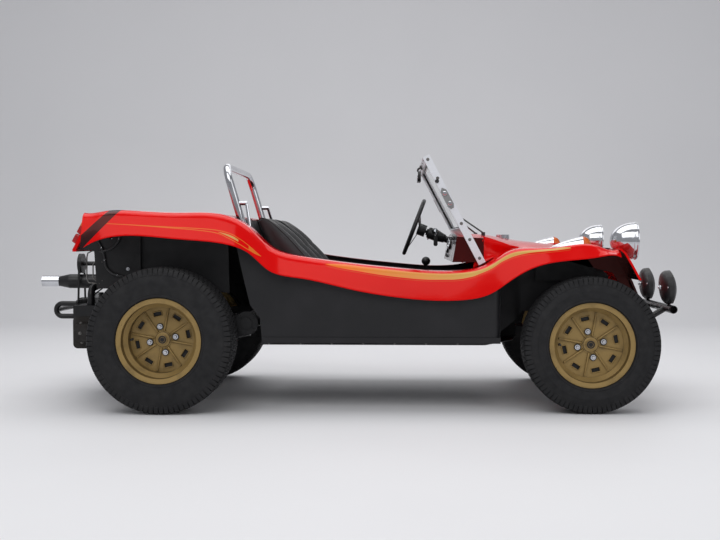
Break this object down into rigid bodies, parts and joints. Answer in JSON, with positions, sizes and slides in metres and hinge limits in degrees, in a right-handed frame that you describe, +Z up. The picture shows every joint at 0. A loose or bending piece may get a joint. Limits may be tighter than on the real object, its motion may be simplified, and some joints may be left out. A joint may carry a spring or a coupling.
{
  "type": "beach buggy",
  "caption": "Open beach buggy: glass-fibre shell on a shortened floor pan, raked windscreen, roll hoop, bucket seats, rear engine and dished wheels that roll and steer.",
  "frame": {"origin": "on the ground under the middle of the car's overall length and width", "axes": "+X forward along the car's length, +Y to the car's left, +Z up"},
  "size_m": [3.4269, 1.6498, 1.2743],
  "materials": {
    "body_red": "gloss red glass-fibre gel coat",
    "black_panel": "satin black paint on glass fibre",
    "chassis_black": "black chassis paint",
    "chrome": "bright chrome plate",
    "frame_alloy": "brushed alloy section",
    "cast_alloy": "sand-cast alloy, dulled",
    "steel": "plain steel",
    "cast_iron": "cast iron, black",
    "wheel_gold": "bronze-gold wheel paint",
    "tyre": "tyre rubber",
    "vinyl": "black vinyl",
    "glass": "clear glass",
    "lens_amber": "amber lens",
    "lens_red": "red lens",
    "black_plastic": "black plastic",
    "black_metal": "gloss black paint"
  },
  "bodies": {
    "chassis": {"body_shell": "body_red", "tail_corners": "black_panel", "tail_panel": "body_red", "hood": "body_red", "cowl": "body_red", "floorpan": "chassis_black", "cockpit_tub": "black_panel", "side_panel_left": "black_panel", "side_panel_right": "black_panel", "rear_inner_wings": "black_panel", "windscreen_frame": "frame_alloy", "windscreen_glass": "glass", "roll_hoop": "chrome", "seat_left": "vinyl", "seat_right": "vinyl", "steering_column": "black_metal", "front_beam": "chassis_black", "front_arms_left": "chassis_black", "front_arms_right": "chassis_black", "torsion_housing": "chassis_black", "trailing_arms": "chassis_black", "gearbox": "cast_alloy", "engine_case": "cast_alloy", "cylinders": "cast_iron", "fan_housing": "black_metal", "generator": "black_metal", "exhaust": "black_metal", "exhaust_tip": "chrome", "rear_bumper": "black_metal", "front_bumper": "black_metal", "driving_lamps": "black_plastic", "headlight_bowls": "chrome", "headlight_lenses": "glass", "indicators": "chrome", "indicator_lenses": "lens_amber", "tail_lamps": "lens_red", "gear_lever": "black_metal", "filler_cap": "chrome", "carburettor": "cast_alloy", "gauges": "black_plastic", "wipers_and_mirror": "black_plastic", "pedals_and_handbrake": "black_metal"},
    "steering_wheel": {"steering_wheel": "black_plastic"},
    "pitman_arm": {"pitman_arm": "steel"},
    "tie_rod_left": {"tie_rod_left": "steel"},
    "knuckle_left": {"knuckle_left": "steel"},
    "wheel_front_left": {"rim_front_left": "wheel_gold", "brake_drum_front_left": "cast_iron", "tyre_front_left": "tyre"},
    "wheel_rear_left": {"rim_rear_left": "wheel_gold", "brake_drum_rear_left": "cast_iron", "tyre_rear_left": "tyre"},
    "tie_rod_right": {"tie_rod_right": "steel"},
    "knuckle_right": {"knuckle_right": "steel"},
    "wheel_front_right": {"rim_front_right": "wheel_gold", "brake_drum_front_right": "cast_iron", "tyre_front_right": "tyre"},
    "wheel_rear_right": {"rim_rear_right": "wheel_gold", "brake_drum_rear_right": "cast_iron", "tyre_rear_right": "tyre"}
  },
  "joints": [
    {"name": "steer_left", "type": "hinge", "parent": "chassis", "child": "knuckle_left", "pos_m": [1.2035, 0.505, 0.335], "axis": [0, 0, 1], "range_deg": [-30, 30]},
    {"name": "steer_right", "type": "hinge", "parent": "chassis", "child": "knuckle_right", "pos_m": [1.2035, -0.505, 0.335], "axis": [0, 0, 1], "range_deg": [-30, 30]},
    {"name": "steering_wheel_turn", "type": "hinge", "parent": "chassis", "child": "steering_wheel", "pos_m": [0.351, 0.305, 0.9205], "axis": [-0.9336, 0, 0.3584], "range_deg": [-420, 420]},
    {"name": "pitman_turn", "type": "hinge", "parent": "chassis", "child": "pitman_arm", "pos_m": [1.2235, 0.24, 0.392], "axis": [0, 0, 1], "range_deg": [-30, 30]},
    {"name": "tie_rod_left_turn", "type": "hinge", "parent": "pitman_arm", "child": "tie_rod_left", "pos_m": [1.1135, 0.26, 0.414], "axis": [0, 0, 1], "range_deg": [-30, 30]},
    {"name": "tie_rod_right_turn", "type": "hinge", "parent": "pitman_arm", "child": "tie_rod_right", "pos_m": [1.1135, 0.22, 0.414], "axis": [0, 0, 1], "range_deg": [-30, 30]},
    {"name": "roll_front_left", "type": "hinge", "parent": "knuckle_left", "child": "wheel_front_left", "pos_m": [1.2035, 0.63, 0.335], "axis": [0, 1, 0], "continuous": true},
    {"name": "roll_rear_left", "type": "hinge", "parent": "chassis", "child": "wheel_rear_left", "pos_m": [-0.8965, 0.7, 0.358], "axis": [0, 1, 0], "continuous": true},
    {"name": "roll_front_right", "type": "hinge", "parent": "knuckle_right", "child": "wheel_front_right", "pos_m": [1.2035, -0.63, 0.335], "axis": [0, 1, 0], "continuous": true},
    {"name": "roll_rear_right", "type": "hinge", "parent": "chassis", "child": "wheel_rear_right", "pos_m": [-0.8965, -0.7, 0.358], "axis": [0, 1, 0], "continuous": true}
  ],
  "couplings": [
    {"joint": "steer_right", "follows": "steer_left", "ratio": 1},
    {"joint": "steering_wheel_turn", "follows": "steer_left", "ratio": 14},
    {"joint": "pitman_turn", "follows": "steer_left", "ratio": 1},
    {"joint": "tie_rod_left_turn", "follows": "steer_left", "ratio": -1},
    {"joint": "tie_rod_right_turn", "follows": "steer_left", "ratio": -1}
  ]
}
